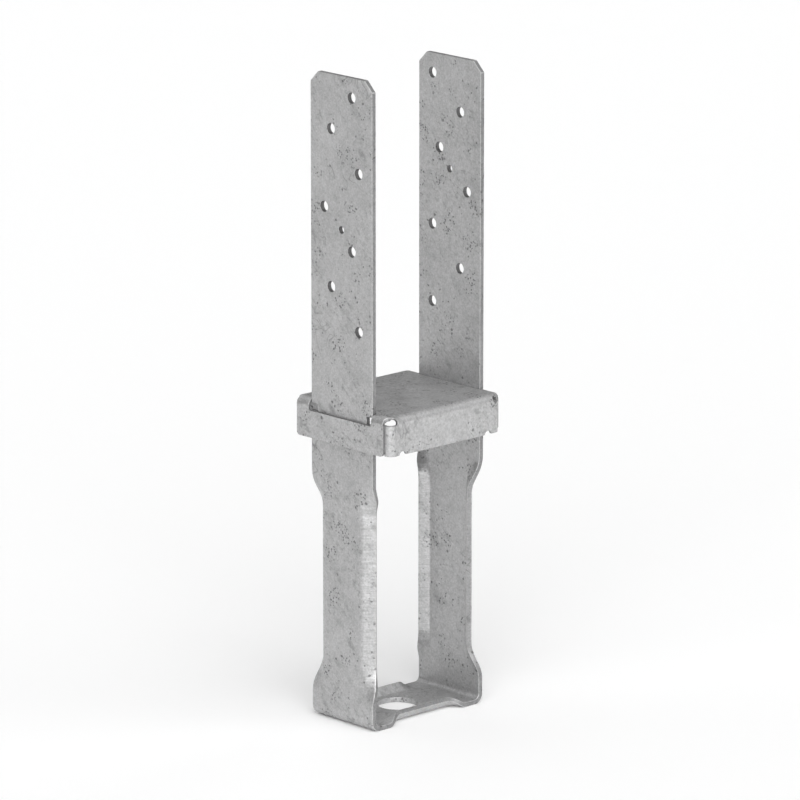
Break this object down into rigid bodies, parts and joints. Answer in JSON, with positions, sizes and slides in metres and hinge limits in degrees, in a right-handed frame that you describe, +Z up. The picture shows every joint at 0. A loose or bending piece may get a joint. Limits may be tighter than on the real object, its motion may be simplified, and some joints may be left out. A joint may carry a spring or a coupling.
{
  "type": "timber post base",
  "caption": "Cast-in galvanised post base: a U-shaped strap with stiffening lips below and screw holes above, through a folded plate that holds the post off the concrete.",
  "frame": {"origin": "centre of the strap's underside, at the foot of the part", "axes": "+Z up along the legs, +X from the left leg to the right leg, +Y along the strap's width, away from the picture's near side"},
  "size_m": [0.1016, 0.0888, 0.4223],
  "materials": {
    "strap_steel": "hot-dip galvanised, dull grey, soft cloudy mottling",
    "plate_steel": "hot-dip galvanised, dull grey, soft cloudy mottling"
  },
  "bodies": {
    "root": {"u_strap": "strap_steel", "standoff_plate": "plate_steel"}
  },
  "joints": []
}
